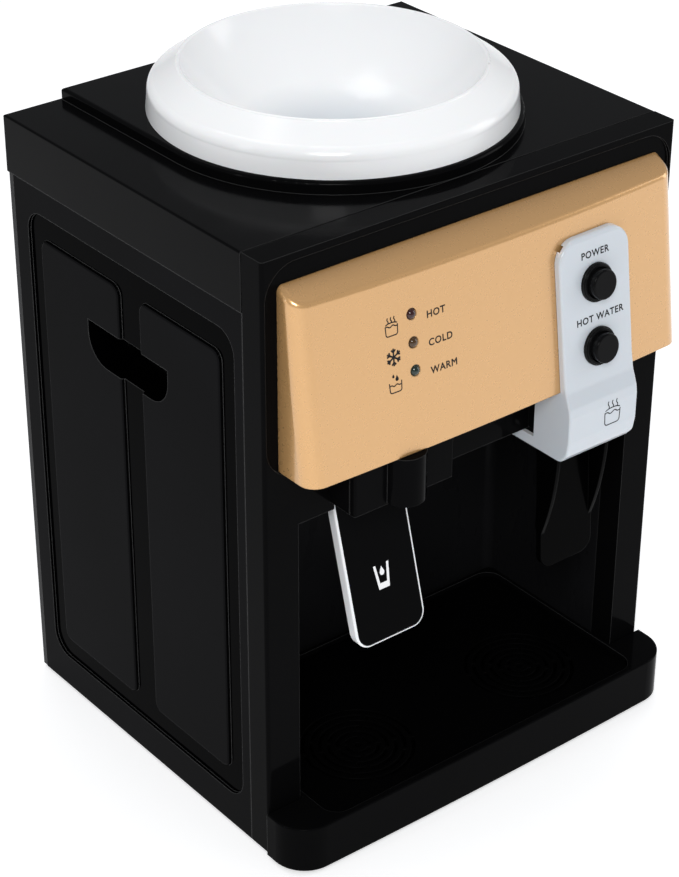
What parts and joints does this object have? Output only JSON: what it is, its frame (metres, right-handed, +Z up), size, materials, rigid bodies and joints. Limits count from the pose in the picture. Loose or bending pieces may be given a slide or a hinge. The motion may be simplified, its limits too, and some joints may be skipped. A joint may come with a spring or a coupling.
{
  "type": "countertop water dispenser",
  "caption": "Compact countertop dispenser for hot and cold water with an upturned-bottle seat, leaning front panel, push levers, push buttons and a drip tray.",
  "frame": {"origin": "middle of the footprint, on the surface that the feet stand on", "axes": "+Z up, -Y towards the user (taps and tray), +X to the right as the user looks at it"},
  "size_m": [0.294, 0.2779, 0.4128],
  "materials": {
    "black_gloss": "high gloss",
    "black_satin": "satin",
    "champagne": "metallic lacquer",
    "white_gloss": "high gloss",
    "button_black": "gloss",
    "led_red": "tinted lens",
    "led_amber": "tinted lens",
    "led_green": "tinted lens",
    "rubber": "matt",
    "silicone": "milky",
    "steel": "brushed",
    "zinc": "bright plated",
    "aluminium": "extruded",
    "brass": "turned",
    "foam": "closed cell",
    "ceramic": "fired",
    "circuit": "solder resist",
    "parts_black": "moulded"
  },
  "bodies": {
    "cabinet": {"front_frame": "black_gloss", "alcove_liner": "black_gloss", "left_side_panel": "black_gloss", "right_side_panel": "black_gloss", "top_cover": "black_gloss", "back_cover": "black_satin", "cover_screws": "zinc", "base_plate": "black_satin", "rubber_feet": "rubber", "fascia_panel": "champagne", "led_lens_hot": "led_red", "led_lens_cold": "led_amber", "led_lens_warm": "led_green", "indicator_board": "circuit", "control_box": "white_gloss", "button_bezels": "button_black", "push_switches": "parts_black", "cold_tap_housing": "black_gloss", "cold_tap_front": "black_gloss", "cold_nozzle": "white_gloss", "cold_shank": "brass", "hot_tap_housing": "black_gloss", "hot_nozzle": "steel", "hot_shank": "brass", "lever_pins": "steel", "lever_springs": "steel", "shank_nuts": "brass", "inlet_gasket": "silicone", "cold_tank": "steel", "tank_insulation": "foam", "cold_block": "aluminium", "tec_module": "ceramic", "heat_sink": "aluminium", "fan_frame": "parts_black", "hot_tank": "steel", "heater_band": "steel", "thermostats": "ceramic", "tank_bracket": "zinc", "power_board": "circuit", "transformer": "parts_black", "board_parts": "parts_black", "board_standoffs": "ceramic", "cold_hose": "silicone", "hot_hose": "silicone", "feed_hose": "silicone", "drain_hose": "silicone", "drain_stub": "black_satin", "cord_gland": "rubber"},
    "power_button": {"power_button": "button_black"},
    "hot_water_button": {"hot_water_button": "button_black"},
    "cold_lever": {"cold_lever": "white_gloss", "cold_lever_face": "black_gloss"},
    "hot_lever": {"hot_lever": "black_gloss"},
    "drip_tray": {"drip_tray": "black_gloss"},
    "tray_grate": {"tray_grate": "black_gloss"},
    "bottle_seat": {"bottle_seat": "white_gloss", "bottle_probe": "white_gloss"},
    "fan_rotor": {"fan_rotor": "parts_black"},
    "drain_plug": {"drain_plug": "rubber"}
  },
  "joints": [
    {"name": "power_button_press", "type": "slide", "parent": "cabinet", "child": "power_button", "axis": [0, 0.9911, -0.1328], "range_m": [0, 0.003], "stiffness_N_per_m": 400, "springref_m": -0.001},
    {"name": "hot_water_button_press", "type": "slide", "parent": "cabinet", "child": "hot_water_button", "axis": [0, 0.9911, -0.1328], "range_m": [0, 0.003], "stiffness_N_per_m": 400, "springref_m": -0.001},
    {"name": "cold_lever_push", "type": "hinge", "parent": "cabinet", "child": "cold_lever", "pos_m": [-0.067, -0.0925, 0.2285], "axis": [1, 0, 0], "range_deg": [0, 11], "stiffness_Nm_per_rad": 0.12, "springref_deg": -20.05},
    {"name": "hot_lever_push", "type": "hinge", "parent": "cabinet", "child": "hot_lever", "pos_m": [0.0648, -0.108, 0.2285], "axis": [1, 0, 0], "range_deg": [0, 10], "stiffness_Nm_per_rad": 0.12, "springref_deg": -20.05},
    {"name": "drip_tray_pull", "type": "slide", "parent": "cabinet", "child": "drip_tray", "axis": [0, -1, 0], "range_m": [0, 0.15]},
    {"name": "tray_grate_lift", "type": "slide", "parent": "drip_tray", "child": "tray_grate", "axis": [0, 0, 1], "range_m": [0, 0.04]},
    {"name": "bottle_seat_lift", "type": "slide", "parent": "cabinet", "child": "bottle_seat", "axis": [0, 0, 1], "range_m": [0, 0.09]},
    {"name": "fan_spin", "type": "hinge", "parent": "cabinet", "child": "fan_rotor", "pos_m": [0, 0.1195, 0.2775], "axis": [0, 1, 0], "continuous": true},
    {"name": "drain_plug_pull", "type": "slide", "parent": "cabinet", "child": "drain_plug", "axis": [0, 1, 0], "range_m": [0, 0.02]}
  ]
}
